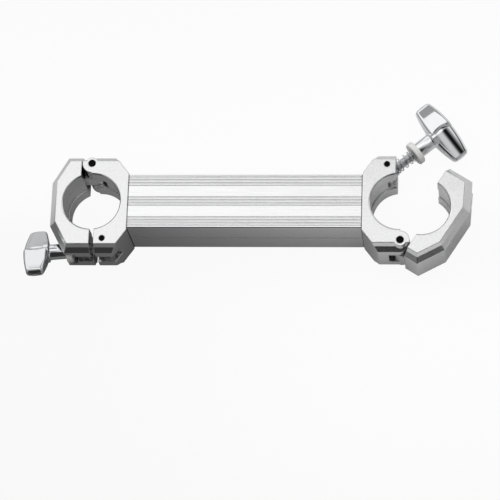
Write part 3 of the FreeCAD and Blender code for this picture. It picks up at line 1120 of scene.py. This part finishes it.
@dataclass(frozen=True)
class Lamp:
    """A flat soft lamp that hangs level over the object.

    Attributes:
        name: Name of the lamp.
        at: Its middle, in metres.
        size: Its sides, in metres.
        turn_deg: Turn of its sides about the vertical.
        level: Brightness of its face, where one is white.
        mirrored: True where polished metal shows it.
    """

    name: str
    at: tuple[float, float, float]
    size: tuple[float, float]
    turn_deg: float
    level: float
    mirrored: bool

    def hang(self) -> None:
        """Hang the lamp; its power follows from its brightness and area."""
        data = bpy.data.lights.new(self.name, "AREA")
        data.shape = "RECTANGLE"
        data.size, data.size_y = self.size
        data.energy = self.level * math.pi * self.size[0] * self.size[1]
        lamp = bpy.data.objects.new(self.name, data)
        lamp.location = self.at
        lamp.rotation_euler = (0.0, 0.0, math.radians(self.turn_deg))
        lamp.visible_camera = False
        lamp.visible_glossy = self.mirrored
        bpy.context.scene.collection.objects.link(lamp)


@dataclass
class Studio:
    """Paper table, soft studio light and the camera.

    Attributes:
        camera_mm: Place of the camera.
        camera_turn: Axis of the camera's turn, as long as its angle in radians.
        lens_mm: Focal length on a 36 mm sensor.
        floor_half_m: Half the side of the table.
        papers: Places along Y, in metres, with the sRGB colours of the table's paper at the object's left
            and right; the paper fades between them. Its grey tones are painted shade, darkest on the
            camera's side and just in front of the object.
        paper_fade_m: Distance from the middle, along X, at which the paper reaches its side colours.
        white_shares: Kinds of ray, with the share of plain white that each sees on the table.
        lamps: Softbox over the object, and a wide fill that brings matt colours to their level.
        room_level: Brightness of the room round the cards.
        cards: White backdrop and two side cards, dark room on the camera's side, lit ceiling and black flag.
    """

    camera_mm: tuple[float, float, float] = (166.586, -536.996, 1545.729)
    camera_turn: tuple[float, float, float] = (0.3223012, 0.1002872, 0.0181525)
    lens_mm: float = 176.27
    floor_half_m: float = 3.0
    # Painted shade: the paper is darkest on the camera's side and just in front of the object, where metal
    # shows it in reflection.
    papers: tuple[tuple[float, str, str], ...] = (
        (-0.3, "181818", "303030"),
        (-0.07, "6E6E6E", "D6D6D6"),
        (-0.02, "5C5C5C", "ACACAC"),
        (0.03, "CCCCCC", "D6D6D6"),
        (0.25, "989898", "B4B4B4"),
    )
    paper_fade_m: float = 0.12
    white_shares: tuple[tuple[str, float], ...] = (
        ("Is Camera Ray", 0.94),
        ("Is Glossy Ray", 0.05),
        ("Is Transmission Ray", 0.05),
    )
    lamps: tuple[Lamp, ...] = (
        Lamp("softbox", (-0.24, 0.34, 1.2), (1.45, 0.54), -18.0, 0.74, True),
        Lamp("fill", (0.0, 0.0, 2.0), (3.0, 3.0), 0.0, 1.1, False),
    )
    room_level: float = 0.36
    cards: tuple[Card, ...] = (
        Card((-0.1, 0.99, 0.1), 30.0, 4.0, 1.0),
        Card((-0.6, 0.6, 0.53), 24.0, 4.0, 1.0),
        Card((0.7, 0.65, 0.25), 26.0, 6.0, 0.95),
        Card((0.03, -0.97, 0.26), 38.0, 6.0, 0.03),
        Card((0.02, -0.64, 0.77), 20.0, 5.0, 0.03),
        Card((0.25, -0.2, 0.945), 9.0, 5.0, 0.68),
        Card((0.52, 0.09, 0.85), 12.0, 9.0, 0.003),
    )

    def place_camera(self) -> None:
        """Stand the camera where the photograph was taken from."""
        data = bpy.data.cameras.new("camera")
        data.lens = self.lens_mm
        data.sensor_width = 36.0
        data.clip_start, data.clip_end = 0.05, 50.0
        camera = bpy.data.objects.new("camera", data)
        camera.location = Vector(self.camera_mm) * MM
        turn = Vector(self.camera_turn)
        camera.rotation_mode = "QUATERNION"
        camera.rotation_quaternion = Quaternion(turn.normalized(), turn.length)
        bpy.context.scene.collection.objects.link(camera)
        bpy.context.scene.camera = camera

    def lay_floor(self) -> None:
        """Lay a table of shaded paper that keeps the shadow and shows nearly white to the camera."""
        half = self.floor_half_m
        mesh = bpy.data.meshes.new("table")
        corners = [(-half, -half, 0), (half, -half, 0), (half, half, 0), (-half, half, 0)]
        mesh.from_pydata(corners, [], [(0, 1, 2, 3)])
        floor = bpy.data.objects.new("table", mesh)
        bpy.context.scene.collection.objects.link(floor)
        made = bpy.data.materials.new("white_table_paper")
        made.use_nodes = True
        tree = made.node_tree
        tree.nodes.clear()
        place = add_node(tree, "ShaderNodeTexCoord")
        axes = add_node(tree, "ShaderNodeSeparateXYZ", None, {0: place.outputs["Object"]})
        fade = {"interpolation_type": "SMOOTHSTEP"}
        aside = add_node(
            tree,
            "ShaderNodeMapRange",
            fade,
            {"Value": axes.outputs["X"], "From Min": -self.paper_fade_m, "From Max": self.paper_fade_m},
        )
        places = [spot for spot, _, _ in self.papers]
        rows = [
            add_node(
                tree,
                "ShaderNodeMix",
                {"data_type": "RGBA"},
                {0: aside.outputs[0], 6: linear(left), 7: linear(right)},
            ).outputs[2]
            for _, left, right in self.papers
        ]
        tone = rows[0]
        for start, end, row in zip(places, places[1:], rows[1:]):
            along = add_node(
                tree,
                "ShaderNodeMapRange",
                fade,
                {"Value": axes.outputs["Y"], "From Min": start, "From Max": end},
            )
            tone = add_node(
                tree, "ShaderNodeMix", {"data_type": "RGBA"}, {0: along.outputs[0], 6: tone, 7: row}
            ).outputs[2]
        paper = add_node(tree, "ShaderNodeBsdfDiffuse", None, {"Color": tone})
        glow = add_node(tree, "ShaderNodeEmission", None, {"Strength": 1.0})
        ray = add_node(tree, "ShaderNodeLightPath")
        share = 0.0
        for kind, part in self.white_shares:
            share = add_node(
                tree,
                "ShaderNodeMath",
                {"operation": "MULTIPLY_ADD"},
                {0: ray.outputs[kind], 1: part, 2: share},
            ).outputs[0]
        both = add_node(
            tree, "ShaderNodeMixShader", None, {0: share, 1: paper.outputs[0], 2: glow.outputs[0]}
        )
        add_node(tree, "ShaderNodeOutputMaterial", None, {"Surface": both.outputs[0]})
        mesh.materials.append(made)

    def light_room(self) -> None:
        """Light the room evenly, lay the cards in it, and show white to the camera."""
        world = bpy.data.worlds.new("studio_room")
        world.use_nodes = True
        bpy.context.scene.world = world
        tree = world.node_tree
        tree.nodes.clear()
        place = add_node(tree, "ShaderNodeTexCoord")
        level = self.room_level
        for card in self.cards:
            angle = add_node(
                tree,
                "ShaderNodeVectorMath",
                {"operation": "DOT_PRODUCT"},
                {0: place.outputs["Generated"], 1: Vector(card.towards).normalized()},
            )
            inside = add_node(
                tree,
                "ShaderNodeMapRange",
                {"interpolation_type": "SMOOTHSTEP"},
                {
                    "Value": angle.outputs["Value"],
                    "From Min": math.cos(math.radians(card.half_deg + card.soft_deg)),
                    "From Max": math.cos(math.radians(card.half_deg - card.soft_deg)),
                },
            )
            level = add_node(
                tree,
                "ShaderNodeMix",
                {"data_type": "FLOAT"},
                {0: inside.outputs[0], 2: level, 3: card.level},
            ).outputs[0]
        ray = add_node(tree, "ShaderNodeLightPath")
        seen = add_node(
            tree,
            "ShaderNodeMix",
            {"data_type": "FLOAT"},
            {0: ray.outputs["Is Camera Ray"], 2: level, 3: 1.0},
        )
        white = linear("FFFFFF")
        sky = add_node(tree, "ShaderNodeBackground", None, {"Color": white, "Strength": seen.outputs[0]})
        add_node(tree, "ShaderNodeOutputWorld", None, {"Surface": sky.outputs[0]})

    def build(self) -> None:
        """Set up the camera, the table, the light and the plain view transform."""
        self.place_camera()
        self.lay_floor()
        self.light_room()
        for lamp in self.lamps:
            lamp.hang()
        bpy.context.scene.view_settings.view_transform = "Standard"


def main() -> None:
    """Build the bar, both clamps and the studio, and report each piece."""
    logging.basicConfig(level=logging.INFO, format="%(message)s")
    assemblies = [
        Bar(),
        TubeClamp(Side.LEFT, washer_at=22.35, nut_roll=33.0),
        TubeClamp(Side.RIGHT, washer_at=21.45, nut_roll=11.5),
    ]
    for assembly in assemblies:
        for piece in assembly.build():
            LOG.info("%s: %s", piece.name, piece.data.materials[0].name)
    Studio().build()


if __name__ == "__main__":
    main()
